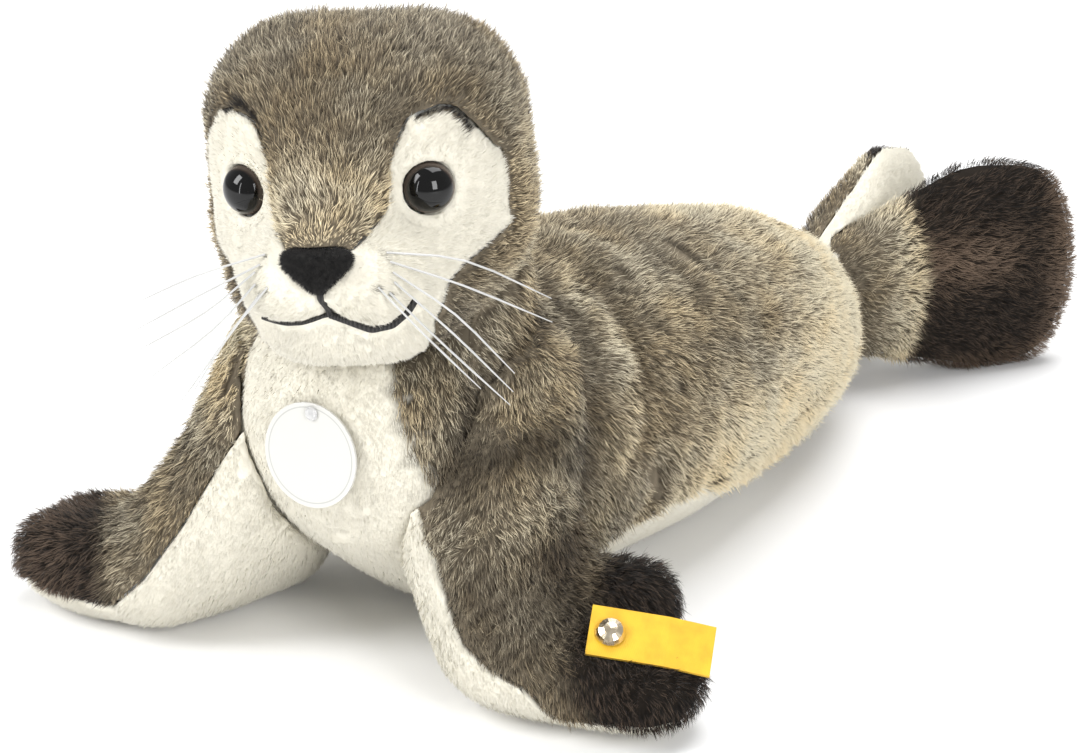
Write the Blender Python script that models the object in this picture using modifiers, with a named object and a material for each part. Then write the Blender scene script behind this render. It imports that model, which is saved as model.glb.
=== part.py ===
"""A plush seal that lies on its belly, with its head raised and turned a little to its left.

The sewn panels are thin solids around fibre fillings, as they would come apart on a bench.
Metres, +Z up. The seal looks along -Y, and its left side is towards +X.
"""

import math

import bmesh
import bpy
from mathutils import Matrix, Vector
from mathutils.bvhtree import BVHTree

MM = 0.001

# The plush cloth, and how close the pieces lie to one another
CLOTH = 2.4
GAP = 0.35

# How finely the stuffed forms are worked before they are thinned out
VOXEL = 2.5
BALL_SEGMENTS = 20
BALL_RINGS = 12

# The head, in its own frame, looks along -Y
HEAD_AT = Vector((3, -50, 118))
HEAD_YAW = 14
HEAD_PITCH = -10
HEAD_ROLL = -5
EYE_SPREAD = 21.5
EYE_HEIGHT = 3.5
EYE_RADIUS = 6

# The body lies along this heading from +Y, and the front flippers stand either side of this x
BODY_HEADING = 12
FRONT_MIDDLE = 4.5

HIND_ROOT = Vector((47, 140, 26))
HIND_HEADING = {"left": 50, "right": 4}
HIND_REACH = {"left": 60, "right": 54}
HIND_RISE = {"left": 0.0, "right": 0.03}

WHISKER_RADIUS = 0.25
TAG_RADIUS = 12.6
LABEL_WIDTH = 12.5
LABEL_LENGTH = 29
BUTTON_RADIUS = 3.6


def clear_scene():
    for item in list(bpy.data.objects):
        bpy.data.objects.remove(item)


def add_collection(name):
    found = bpy.data.collections.new(name)
    bpy.context.scene.collection.children.link(found)
    return found


def add_object(name, shape):
    """Puts the shape that was worked in millimetres into the scene, and lets go of it."""
    mesh = bpy.data.meshes.new(name)
    shape.to_mesh(mesh)
    shape.free()
    made = bpy.data.objects.new(name, mesh)
    bpy.context.scene.collection.objects.link(made)
    return made


def baked(item):
    """The item with its modifiers made part of its mesh."""
    graph = bpy.context.evaluated_depsgraph_get()
    mesh = bpy.data.meshes.new_from_object(item.evaluated_get(graph))
    item.modifiers.clear()
    item.data = mesh
    return item


def duplicate(item, name):
    made = bpy.data.objects.new(name, item.data.copy())
    bpy.context.scene.collection.objects.link(made)
    return made


def drop(*items):
    for item in items:
        bpy.data.objects.remove(item)


def grown(item, distance):
    """A copy whose skin lies this far outside the item's own."""
    made = duplicate(item, item.name + "_grown")
    normals = [v.normal.copy() for v in made.data.vertices]
    for vertex, normal in zip(made.data.vertices, normals):
        vertex.co += normal * distance
    return made


def combine(item, tool, operation):
    """Cuts the tool away from the item, or keeps what both share, and drops the tool."""
    step = item.modifiers.new("Cut", "BOOLEAN")
    step.operation = operation
    step.solver = "EXACT"
    step.object = tool
    baked(item)
    drop(tool)
    return item


def without(item, other, distance):
    return combine(item, grown(other, distance), "DIFFERENCE")


def main_piece(item):
    """Keeps the largest connected skin, and leaves out crumbs that a cut left beside it."""
    shape = bmesh.new()
    shape.from_mesh(item.data)
    left = set(shape.verts)
    groups = []
    while left:
        group, waiting = set(), [left.pop()]
        while waiting:
            vertex = waiting.pop()
            group.add(vertex)
            for link in vertex.link_edges:
                other = link.other_vert(vertex)
                if other in left:
                    left.discard(other)
                    waiting.append(other)
        groups.append(group)
    groups.sort(key=len)
    for group in groups[:-1]:
        bmesh.ops.delete(shape, geom=list(group), context="VERTS")
    shape.to_mesh(item.data)
    shape.free()
    return item


def thinned(item, faces):
    """Leaves about this many triangles, and more of them where the form bends."""
    split = item.modifiers.new("Triangles", "TRIANGULATE")
    split.quad_method = "FIXED"
    baked(item)
    step = item.modifiers.new("Thin out", "DECIMATE")
    step.ratio = min(1, faces / len(item.data.polygons))
    return baked(item)


def frame_of(along, up):
    """Turns +X to along and +Z as near to up as it can."""
    x = Vector(along).normalized()
    y = Vector(up).cross(x).normalized()
    return Matrix((x, y, x.cross(y))).transposed()


def ball_points(centre, radii, turn):
    """Points on an ellipsoid with this centre, these half sizes and this turn."""
    found = [Vector((0, 0, 1)), Vector((0, 0, -1))]
    for ring in range(1, BALL_RINGS):
        polar = math.pi * ring / BALL_RINGS
        for segment in range(BALL_SEGMENTS):
            around = 2 * math.pi * segment / BALL_SEGMENTS
            flat = math.sin(polar)
            found.append(Vector((flat * math.cos(around), flat * math.sin(around), math.cos(polar))))
    return [turn @ Vector([a * b for a, b in zip(p, radii)]) + Vector(centre) for p in found]


def add_hull(shape, balls):
    """Adds the closed skin that is stretched over these balls."""
    corners = [shape.verts.new(p) for ball in balls for p in ball_points(*ball)]
    made = bmesh.ops.convex_hull(shape, input=corners)
    spare = set(made["geom_interior"]) | set(made["geom_unused"])
    bmesh.ops.delete(shape, geom=list(spare), context="VERTS")


def stuffed_form(name, chains, smoothing, press, faces, filling_faces):
    """The outside of a stuffed piece, and the filling that it holds.

    Each chain's neighbouring balls are wrapped in one skin. All the skins become one soft form.
    The form rests flat on the floor wherever it would pass below it.
    """
    shape = bmesh.new()
    for chain in chains:
        if len(chain) == 1:
            add_hull(shape, chain)
        for first, second in zip(chain, chain[1:]):
            add_hull(shape, [first, second])
    form = add_object(name, shape)
    remesh = form.modifiers.new("One skin", "REMESH")
    remesh.mode = "VOXEL"
    remesh.voxel_size = VOXEL
    smooth = form.modifiers.new("Rounded off", "SMOOTH")
    smooth.factor = 0.5
    smooth.iterations = smoothing
    baked(form)
    spots = [(v.co.copy(), v.normal.copy()) for v in form.data.vertices]
    for vertex, (point, normal) in zip(form.data.vertices, spots):
        vertex.co = point + press(point, normal)
    soften = form.modifiers.new("Soft folds", "SMOOTH")
    soften.factor = 0.5
    soften.iterations = 1
    baked(form)
    filling = grown(form, -(CLOTH + GAP))
    filling.name = name + "_filling"
    for item, height, count in ((form, 0, faces), (filling, CLOTH + GAP, filling_faces)):
        rest_on_floor(item, height)
        thinned(item, count)
        rest_on_floor(item, height)
    return form, filling


def rest_on_floor(item, height):
    """Lays what passes below this height, or comes close to it, flat at this height."""
    for vertex in item.data.vertices:
        if vertex.co.z < height + 0.4:
            vertex.co.z = height


def no_press(point, normal):
    return Vector((0, 0, 0))


def bump(value, width):
    return math.exp(-(value / width) ** 2)


def fade(value, start, end):
    """0 before start, 1 after end, and smooth between."""
    share = min(max((value - start) / (end - start), 0), 1)
    return share * share * (3 - 2 * share)


HEAD_TURN = (Matrix.Rotation(math.radians(HEAD_YAW), 3, "Z")
             @ Matrix.Rotation(math.radians(HEAD_PITCH), 3, "X")
             @ Matrix.Rotation(math.radians(HEAD_ROLL), 3, "Y"))


def on_head(x, y, z):
    return HEAD_TURN @ Vector((x, y, z)) + HEAD_AT


def in_head(point):
    return HEAD_TURN.transposed() @ (point - HEAD_AT)


def head_pair(centre, radii, aside=0):
    """The ball at +x and its twin at -x in the head's own frame, both moved aside by this much."""
    x, y, z = centre
    return [(on_head(aside + x, y, z), radii, HEAD_TURN), (on_head(aside - x, y, z), radii, HEAD_TURN)]


def press_head(point, normal):
    """Shallow hollows for the eyes, the groove under the nose, and the dip behind the brow."""
    x, y, z = in_head(point)
    if y > -12:
        return Vector((0, 0, 0))
    eye = bump(math.hypot(abs(x) - EYE_SPREAD, z - EYE_HEIGHT), 8)
    inner = bump(math.hypot(abs(x) - 13.5, z + 2), 7)
    lip = bump(x, 3.2) * fade(-z, 17, 21) * fade(z, -32, -25)
    under = bump(z + 27.5, 3) * fade(-y, 22, 32) * fade(-abs(x), -24, -15)
    return -normal * (1.3 * eye + 1.6 * inner + 1.6 * lip + 1.2 * under)


def head_form():
    crown = head_pair((15, 4, 14), (21, 32, 24), 1)
    cheeks = head_pair((9, 6, -6), (28, 35, 28), 1)
    jaw = head_pair((8, -15, -25), (15, 22, 13))
    muzzle = head_pair((8, -25, -15), (15, 20, 13))
    bridge = head_pair((0, -16, 4), (20, 20, 20))[:1] + head_pair((0, -31, -7), (13, 16, 10))[:1]
    chains = [crown, cheeks, jaw, muzzle, bridge]
    chains += [[one, other] for one in crown for other in cheeks]
    chains += [[cheeks[0], jaw[0]], [cheeks[1], jaw[1]]]
    return stuffed_form("head", chains, 12, press_head, 760, 180)


def along_body():
    turn = math.radians(BODY_HEADING)
    return Vector((math.sin(turn), math.cos(turn), 0))


def press_body(point, normal):
    """The folds that are squeezed up behind the left shoulder, and a lengthwise slackness of the cloth."""
    along = point.dot(along_body())
    aside = point.dot(along_body().cross(Vector((0, 0, 1)))) - 6
    lean = 0.16 * (point.z - 45)
    flank = fade(aside, -12, 18) * fade(point.z, 8, 26)
    folds = 0
    for place, depth, width in ((8, 2.6, 3.6), (20, 2.2, 3.4), (33, 1.7, 3.6), (47, 0.9, 4)):
        folds += depth * bump(along - place - lean, width)
        folds -= 0.45 * depth * bump(along - place - lean - 6.5, width)
    return -normal * folds * flank


def body_ball(centre, radii):
    return (centre, radii, frame_of(along_body(), (0, 0, 1)))


def body_form():
    spine = [
        body_ball((8, -38, 94), (25, 30, 24)),
        body_ball((6, -46, 60), (34, 40, 36)),
        body_ball((8, -18, 43), (34, 46, 44)),
        body_ball((26, 36, 40), (36, 44, 42)),
        body_ball((38, 86, 33), (32, 34, 34)),
        body_ball((43, 120, 26), (14, 23, 25)),
    ]
    return stuffed_form("body", [spine], 12, press_body, 980, 220)


def front_flipper_form(side):
    sign = {"left": 1, "right": -1}[side]

    def at(x, y, z, radii, along, up):
        turned = (sign * along[0], along[1], along[2])
        return ((FRONT_MIDDLE + sign * x, y, z), radii, frame_of(turned, up))

    shoulder = at({"left": 27, "right": 21}[side], -42, 62, (26, 27, 20), (0.1, -0.3, -1), (sign, 0, 0.2))
    trailing = at(36, -34, 14, (14, 16, 14), (1, 0, 0), (0, 0, 1))
    if side == "left":
        upper = at(31.2, -55, 38, (20, 24, 19), (0.2, -0.45, -0.9), (sign, 0, 0.3))
        wrist = at(44.2, -60, 14, (21, 24, 14.5), (1, -0.2, -0.3), (0.3, 0, 1))
        front_lobe = at(72, -61.5, 10, (18, 15, 10.5), (1, -0.1, 0.05), (0, 0, 1))
        back_lobe = at(58, -38, 16, (16, 13, 11), (1, 0.3, 0.3), (0, 0.3, 1))
    else:
        upper = at(29, -55, 38, (20, 24, 18), (0.2, -0.45, -0.9), (sign, 0, 0.3))
        wrist = at(51, -58, 14, (20, 24, 14.5), (1, -0.2, -0.3), (-0.3, 0, 1))
        front_lobe = at(76, -63, 11, (17, 15, 11.5), (1, 0, 0.35), (0, 0, 1))
        back_lobe = at(79, -48, 10, (14, 12, 9), (1, 0.3, 0.3), (0, 0.3, 1))

    middle = Vector(wrist[0]).lerp(Vector(front_lobe[0]).lerp(Vector(back_lobe[0]), 0.5), 0.9)

    def press_hand(point, normal):
        """The dish in the top of the paw, between its two lobes."""
        away = math.hypot(point.x - middle.x, point.y - middle.y)
        return -normal * 3.2 * bump(away, 10) * fade(normal.z, 0.1, 0.7)

    chains = [[shoulder, upper, wrist, front_lobe], [wrist, back_lobe], [upper, trailing], [wrist, trailing]]
    return stuffed_form("front_flipper_" + side, chains, 6, press_hand, 460, 100)


def hind_frame(side):
    heading = math.radians(HIND_HEADING[side])
    along = Vector((math.sin(heading), math.cos(heading), 0))
    outward = along.cross(Vector((0, 0, 1))) * {"left": 1, "right": -1}[side]
    return along, outward


def hind_flipper_form(side):
    along, outward = hind_frame(side)
    turn = frame_of(along, outward)
    reach = HIND_REACH[side]

    def at(distance, height, radii):
        return (HIND_ROOT + along * distance + Vector((0, 0, height + HIND_RISE[side] * distance)), radii, turn)

    def press_rays(point, normal):
        """The lengthwise creases in the paddle."""
        ahead = (point - HIND_ROOT).dot(along)
        height = point.z - HIND_ROOT.z
        spread = 0.3 + 0.7 * fade(ahead, 0, reach)
        depth = sum(bump(height - place * spread, 3.2) for place in (-13, 3, 18))
        return -normal * 1.2 * depth * fade(ahead, 14, 40) * fade(-ahead, -reach - 12, -reach)

    if side == "left":
        chain = [at(-4, 0, (14, 18, 12)), at(16, 1.5, (12, 20, 11))]
        chain += [at(reach - 18, 5, (14, 31.5, 9)), at(reach, 4, (15, 31, 8))]
    else:
        chain = [at(-4, 0, (14, 18, 12)), at(14, 3, (12, 22, 11))]
        chain += [at(reach - 18, 3, (14, 29, 9)), at(reach, 0, (14, 26, 8))]
    return stuffed_form("hind_flipper_" + side, [chain], 6, press_rays, 270, 64)


def widened(outline, gap):
    """The outline moved out on all sides by the gap."""
    corners = [Vector(p) for p in outline]
    area = sum(a.x * b.y - b.x * a.y for a, b in zip(corners, corners[1:] + corners[:1]))
    turn = 1 if area > 0 else -1
    found = []
    for before, here, after in zip(corners[-1:] + corners[:-1], corners, corners[1:] + corners[:1]):
        first = (here - before).normalized()
        second = (after - here).normalized()
        normals = [Vector((e.y, -e.x)) * turn for e in (first, second)]
        miter = (normals[0] + normals[1]).normalized()
        found.append(here + miter * gap / max(miter.dot(normals[0]), 0.4))
    return found


def prism(name, outline, start, end, turn, origin):
    """The outline as a solid. It is drawn in the frame's x and z, and reaches from start to end along its y."""
    shape = bmesh.new()
    near = [shape.verts.new(turn @ Vector((p[0], start, p[1])) + origin) for p in outline]
    far = [shape.verts.new(turn @ Vector((p[0], end, p[1])) + origin) for p in outline]
    shape.faces.new(near)
    shape.faces.new(far)
    for i in range(len(outline)):
        j = (i + 1) % len(outline)
        shape.faces.new((near[i], near[j], far[j], far[i]))
    bmesh.ops.recalc_face_normals(shape, faces=shape.faces)
    bmesh.ops.triangulate(shape, faces=shape.faces)
    return add_object(name, shape)


def split_cover(cover, names, outline, start, end, turn=Matrix.Identity(3), origin=Vector((0, 0, 0))):
    """Parts the cover along a seam: what lies in the outline, and the rest."""
    inner = duplicate(cover, names[0])
    outer = duplicate(cover, names[1])
    combine(inner, prism("seam", outline, start, end, turn, origin), "INTERSECT")
    wide = prism("seam", widened(outline, GAP), start - GAP, end + GAP, turn, origin)
    combine(outer, wide, "DIFFERENCE")
    drop(cover)
    return main_piece(inner), main_piece(outer)


def hollowed(form, filling, cuts):
    """The cover around a filling, with both cut back from the neighbouring forms."""
    cavity = grown(filling, GAP)
    for other in cuts:
        without(form, other, GAP)
        without(cavity, other, GAP + CLOTH)
        without(filling, other, 2 * GAP + CLOTH)
    shape = bmesh.new()
    shape.from_mesh(cavity.data)
    bmesh.ops.reverse_faces(shape, faces=shape.faces)
    shape.from_mesh(form.data)
    cover = add_object(form.name + "_cover", shape)
    drop(cavity)
    return cover


def lathe(name, profile, turn, origin, steps=16):
    """A closed solid of revolution. The profile is (radius, height) along the frame's z."""
    shape = bmesh.new()
    rings = []
    for radius, height in profile:
        if radius < 1e-6:
            rings.append([shape.verts.new((0, 0, height))])
        else:
            angles = [2 * math.pi * i / steps for i in range(steps)]
            rings.append([shape.verts.new((radius * math.cos(a), radius * math.sin(a), height)) for a in angles])
    closed = profile[0][0] > 1e-6
    for first, second in zip(rings, rings[1:] + rings[:1] if closed else rings[1:]):
        for i in range(steps):
            j = (i + 1) % steps
            corners = [first[i % len(first)], first[j % len(first)], second[j % len(second)], second[i % len(second)]]
            shape.faces.new(list(dict.fromkeys(corners)))
    shape.transform(Matrix.Translation(origin) @ turn.to_4x4())
    bmesh.ops.recalc_face_normals(shape, faces=shape.faces)
    return add_object(name, shape)


def tube(name, path, radii, sides=6):
    """A closed round strand along the path, with a radius for each of its points."""
    shape = bmesh.new()
    rings = []
    side = Vector((0, 0, 1))
    for i, point in enumerate(path):
        ahead = (path[min(i + 1, len(path) - 1)] - path[max(i - 1, 0)]).normalized()
        side = (side - ahead * side.dot(ahead)).normalized()
        other = ahead.cross(side)
        ring = []
        for k in range(sides):
            angle = 2 * math.pi * k / sides
            offset = side * math.cos(angle) + other * math.sin(angle)
            ring.append(shape.verts.new(point + offset * radii[i]))
        rings.append(ring)
    for first, second in zip(rings, rings[1:]):
        for k in range(sides):
            m = (k + 1) % sides
            shape.faces.new((first[k], first[m], second[m], second[k]))
    shape.faces.new(rings[0][::-1])
    shape.faces.new(rings[-1])
    bmesh.ops.recalc_face_normals(shape, faces=shape.faces)
    return add_object(name, shape)


def curve_through(points, count):
    """Evenly spread points on a smooth curve through the given ones."""
    points = [Vector(p) for p in points]
    ends = [points[0] * 2 - points[1]] + points + [points[-1] * 2 - points[-2]]
    found = []
    for i in range(count):
        place = (len(points) - 1) * i / (count - 1)
        span = min(int(place), len(points) - 2)
        t = place - span
        a, b, c, d = ends[span:span + 4]
        found.append(0.5 * (2 * b + (c - a) * t + (2 * a - 5 * b + 4 * c - d) * t * t
                            + (3 * b - a - 3 * c + d) * t ** 3))
    return found


def skin_of(item):
    shape = bmesh.new()
    shape.from_mesh(item.data)
    found = BVHTree.FromBMesh(shape)
    shape.free()
    return found


def on_face(skin, x, z):
    """Where the head's skin is, seen from its front, with its normal."""
    start = on_head(x, -90, z)
    place, normal, _, _ = skin.ray_cast(start, HEAD_TURN @ Vector((0, 1, 0)))
    return place, normal


def add_eyes(skin, covers, filling):
    """Domed safety eyes: each has a stem through the face and a lock washer behind the cloth."""
    found = []
    for side, sign in (("left", 1), ("right", -1)):
        place, normal = on_face(skin, sign * EYE_SPREAD, EYE_HEIGHT)
        facing = (normal + HEAD_TURN @ Vector((0, -0.45, 0.02))).normalized()
        turn = frame_of(facing.cross(Vector((0, 0, 1))), facing)
        seat = place - facing * 1.5
        dome = [(0, 5.6), (2, 5.35), (3.8, 4.5), (5.2, 3.1), (EYE_RADIUS, 1.2), (EYE_RADIUS, 0)]
        stem = [(1.9, 0), (1.9, -5.4), (1.5, -6.4), (0, -6.4)]
        eye = lathe("eye_" + side, dome + stem, turn, seat)
        hole = lathe("hole", [(r + GAP if r else 0, h + (GAP if h > 1 else -GAP)) for r, h in dome[:-1]]
                     + [(EYE_RADIUS + GAP, -GAP), (1.9 + GAP, -GAP), (1.9 + GAP, -9), (0, -9)], turn, seat)
        washer = lathe("eye_washer_" + side, [(2.25, -2.2), (5.2, -2.2), (5.2, -3.4), (2.25, -3.4)], turn, seat)
        wide = EYE_RADIUS + GAP
        pocket = lathe("pocket", [(0, 6), (wide, 6), (wide, -3.4 - GAP), (1.9 + GAP, -3.4 - GAP),
                                  (1.9 + GAP, -6.4 - GAP), (0, -6.4 - GAP)], turn, seat)
        back = lathe("back", [(0, -2.2 + GAP), (5.2 + GAP, -2.2 + GAP), (5.2 + GAP, -3.4 - GAP), (0, -3.4 - GAP)],
                     turn, seat)
        for cover in covers:
            without(cover, hole, 0)
            without(cover, back, 0)
        combine(filling, pocket, "DIFFERENCE")
        drop(hole, back)
        found += [eye, washer]
    return found


def add_nose(skin, covers, filling):
    """A flattened velvet pad, wide at its top and rounded to a point below."""
    place, normal = on_face(skin, 0, -10.6)
    facing = HEAD_TURN @ Vector((0, -1, 0.22)).normalized()
    turn = frame_of(facing.cross(Vector((0, 0, 1))) * -1, HEAD_TURN @ Vector((0, 0, 1)))
    shape = bmesh.new()
    corners = [((5.5, 0, 2.3), (2.8, 3.2, 2.6)), ((-5.5, 0, 2.3), (2.8, 3.2, 2.6)), ((0, -0.4, -3.2), (2.4, 3, 2))]
    add_hull(shape, [(c, r, Matrix.Identity(3)) for c, r in corners])
    shape.transform(Matrix.Translation(place - facing * 0.6) @ (HEAD_TURN.to_4x4()))
    nose = add_object("nose", shape)
    smooth = nose.modifiers.new("Even skin", "REMESH")
    smooth.mode = "VOXEL"
    smooth.voxel_size = 0.8
    baked(nose)
    thinned(nose, 180)
    for item in covers:
        without(item, nose, GAP)
    without(filling, nose, GAP)
    return [nose]


def add_mouth(skin):
    """The stitched line: down from the nose, and out to each side as a smile."""
    paths = {
        "mouth_thread_middle": [(0, -16.8), (0, -18.6), (0, -20.6)],
        "mouth_thread_left": [(1.6, -21.7), (4.5, -22.6), (9, -26), (13.5, -25.2), (18, -21.6)],
        "mouth_thread_right": [(-1.6, -21.7), (-5.5, -23.8), (-10, -24.4), (-16.5, -23.8)],
    }
    found = []
    for name, points in paths.items():
        line = curve_through([(x, 0, z) for x, z in points], 9)
        path = []
        for p in line:
            place, normal = on_face(skin, p.x, p.z)
            path.append(place + normal * 1.15)
        radii = [0.45] + [0.65] * 7 + [0.45]
        found.append(tube(name, path, radii))
    return found


def add_whiskers(skin):
    """Six nylon bristles on each side of the muzzle, sprung out and down."""
    rows = {
        "left": [
            ((14, -8.6), (30, -30, -12), (46, -15, -24)),
            ((15, -10.4), (30, -33, -17), (46.5, -18, -28.8)),
            ((15.6, -12.3), (29, -38, -22.5), (40, -31, -37.5)),
            ((15.8, -14.4), (28, -37, -27), (39, -29, -42.2)),
            ((15, -16.4), (26, -35.5, -30.5), (37.5, -26, -46)),
            ((12.8, -15), (23.5, -42, -27), (33, -35, -40)),
        ],
        "right": [
            ((12.6, -8.4), (29, -40, -12.5), (49, -25, -22)),
            ((13.6, -10.4), (28.5, -39, -17), (49, -26, -28)),
            ((14.8, -12), (28.5, -37.5, -21.5), (50, -24, -33.5)),
            ((14.8, -14.2), (27, -37, -25.5), (46.8, -24, -39.5)),
            ((13.6, -16.2), (25, -36, -28.5), (40, -25, -45.5)),
            ((11.6, -14.6), (23, -41, -27), (35, -32, -42)),
        ],
    }
    found = []
    for side, sign in (("left", 1), ("right", -1)):
        for number, (root, middle, tip) in enumerate(rows[side], 1):
            place, normal = on_face(skin, sign * root[0], root[1])
            start = place + normal * 0.7
            points = [start, on_head(sign * middle[0], middle[1], middle[2]), on_head(sign * tip[0], tip[1], tip[2])]
            path = curve_through(points, 7)
            radii = [WHISKER_RADIUS] * 5 + [WHISKER_RADIUS * 0.8, WHISKER_RADIUS * 0.4]
            found.append(tube("whisker_%s_%d" % (side, number), path, radii, 5))
    return found


def add_tag(skin, cover, filling):
    """The round card tag on the chest, held by a small pin through its top."""
    middle, facing, _, _ = skin.ray_cast(Vector((4, -140, 62)), Vector((0, 1, 0)))
    turn = frame_of(Vector((0, 0, 1)).cross(facing), facing)
    proud = 0
    for i in range(24):
        angle = 2 * math.pi * i / 24
        rim = turn @ Vector((TAG_RADIUS * math.cos(angle), TAG_RADIUS * math.sin(angle), 0))
        for reach in (0.4, 0.75, 1):
            hit = skin.ray_cast(middle + rim * reach + facing * 30, -facing)[0]
            if hit:
                proud = max(proud, (hit - middle).dot(facing))
    centre = middle + facing * (proud + GAP + 0.3)
    top = centre + turn @ Vector((0, TAG_RADIUS - 2.4, 0))
    tag = lathe("hang_tag", [(0, 0.3), (TAG_RADIUS, 0.3), (TAG_RADIUS, -0.3), (0, -0.3)], turn, centre, 32)
    combine(tag, lathe("hole", [(0, 2), (0.8 + GAP, 2), (0.8 + GAP, -2), (0, -2)], turn, top, 16), "DIFFERENCE")
    pin = lathe("hang_tag_pin", [(0, 1.3), (1.2, 1.1), (1.7, 0.3 + GAP), (0.8, 0.3 + GAP), (0.8, -7), (0, -7.6)],
                turn, top, 16)
    hole = lathe("hole", [(0, 3), (0.8 + GAP, 3), (0.8 + GAP, -8.2), (0, -8.2)], turn, top, 16)
    without(cover, hole, 0)
    combine(filling, hole, "DIFFERENCE")
    return [tag, pin]


def add_label(skin, covers, filling):
    """The folded cloth label, and the domed button that rivets it into the left front paw."""
    place, normal, _, _ = skin.ray_cast(Vector((72.5, -64, 60)), Vector((0, 0, -1)))
    up = (normal + Vector((0.15, -0.7, 0.1))).normalized()
    along = Vector((0.92, 0.35, -0.16))
    turn = frame_of(along - up * along.dot(up), up)
    levels = []
    for i in range(9):
        hits = []
        for ahead in (-2, 0, 2):
            for aside in (-0.5, -0.25, 0, 0.25, 0.5):
                spot = Vector((LABEL_LENGTH * i / 8 - 5 + ahead, LABEL_WIDTH * aside, 30))
                hits.append(skin.ray_cast(place + turn @ spot, -up)[0])
        found = [(hit - place).dot(up) for hit in hits if hit]
        if levels:
            found.append(levels[-1] - 0.6)
        levels.append(max(found))
    shape = bmesh.new()
    bmesh.ops.create_cube(shape, size=1)
    shape.transform(Matrix.Diagonal((LABEL_LENGTH, LABEL_WIDTH, 0.9, 1)))
    shape.transform(Matrix.Translation((LABEL_LENGTH / 2 - 5, 0, 0)))
    edges = [e for e in shape.edges if abs(e.verts[0].co.x - e.verts[1].co.x) > 1]
    bmesh.ops.subdivide_edges(shape, edges=edges, cuts=7, use_grid_fill=True)
    for vertex in shape.verts:
        vertex.co.z += levels[round((vertex.co.x + 5) * 8 / LABEL_LENGTH)] + GAP + 0.7
    shape.transform(Matrix.Translation(place) @ turn.to_4x4())
    label = add_object("cloth_label", shape)
    over = max(levels[1:3]) + 2 * GAP + 1.2
    hole = lathe("hole", [(0, over + 4), (1.3 + GAP, over + 4), (1.3 + GAP, -6.2), (0, -6.2)], turn, place, 16)
    without(label, hole, 0)
    dome = [(0, over + 2.1), (1.6, over + 1.9), (2.9, over + 1.2), (BUTTON_RADIUS, over)]
    button = lathe("label_button", dome + [(1.3, over), (1.3, -5.8), (0, -5.8)], turn, place)
    washer = lathe("label_washer", [(1.65, -4.1), (3, -4.1), (3, -5), (1.65, -5)], turn, place)
    pocket = lathe("pocket", [(0, -4.1 + GAP), (3 + GAP, -4.1 + GAP), (3 + GAP, -5 - GAP), (0, -5 - GAP)],
                   turn, place)
    for item in covers + [filling]:
        without(item, hole, 0)
        without(item, pocket, 0)
    drop(hole, pocket)
    return [label, button, washer]


MASK = [
    (20.5, 20.3), (24, 21.4), (27, 20.5), (30, 17), (33, 11.5), (37, 5.5), (40, 0), (38, -5), (34, -9.5),
    (30, -12.7), (26, -15.6), (24, -18.5), (21.8, -24.4), (19.7, -30), (16, -36), (13, -60),
]
BRIDGE = [(7.5, -7), (9.6, -5), (13, 0), (13.3, 5), (13.6, 9.3), (15.2, 14), (17.8, 19)]
BELLY = [
    (-110, 130), (-52, 130), (-54, 95), (-68, 62), (-62, 42), (-45, 26), (-20, 19.5), (10, 22.5),
    (40, 26), (85, 26.5), (110, 25), (170, 22), (170, -10), (-110, -10),
]
FRONT_SEAM = {
    "left": [
        (8, 100), (14, 70), (24.5, 50), (31, 40), (33.5, 32), (38.5, 22.5), (45.5, 17.5), (54, 13.5),
        (60, 6), (110, 5),
    ],
    "right": [(10, 100), (18, 70), (29, 50), (36.5, 36), (47, 20), (57, 10), (110, 8)],
}


def underside_middle(items):
    """The middle of the underside of the box around all the items."""
    corners = [v.co for item in items for v in item.data.vertices]
    low, high = [Vector([pick(c[axis] for c in corners) for axis in range(3)]) for pick in (min, max)]
    return Vector(((low.x + high.x) / 2, (low.y + high.y) / 2, low.z))


def finish(item, name, colour, roughness, origin, collection):
    """Sets the piece down in metres from the origin, with its name and its own material."""
    item.name = name
    item.data.name = name
    item.data.materials.clear()
    split = item.modifiers.new("Triangles", "TRIANGULATE")
    split.quad_method = "FIXED"
    baked(item)
    item.data.transform(Matrix.Scale(MM, 4) @ Matrix.Translation(-origin))
    material = bpy.data.materials.new(name + "_finish")
    material.use_nodes = True
    surface = material.node_tree.nodes["Principled BSDF"]
    surface.inputs["Base Color"].default_value = colour + (1,)
    surface.inputs["Roughness"].default_value = roughness
    item.data.materials.clear()
    item.data.materials.append(material)
    bpy.context.scene.collection.objects.unlink(item)
    collection.objects.link(item)


BROWN = (0.24, 0.18, 0.12)
DARK = (0.07, 0.05, 0.04)
CREAM = (0.86, 0.8, 0.68)
FIBRE = (0.9, 0.9, 0.88)
BLACK = (0.01, 0.01, 0.01)
NYLON = (0.9, 0.9, 0.88)


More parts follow.
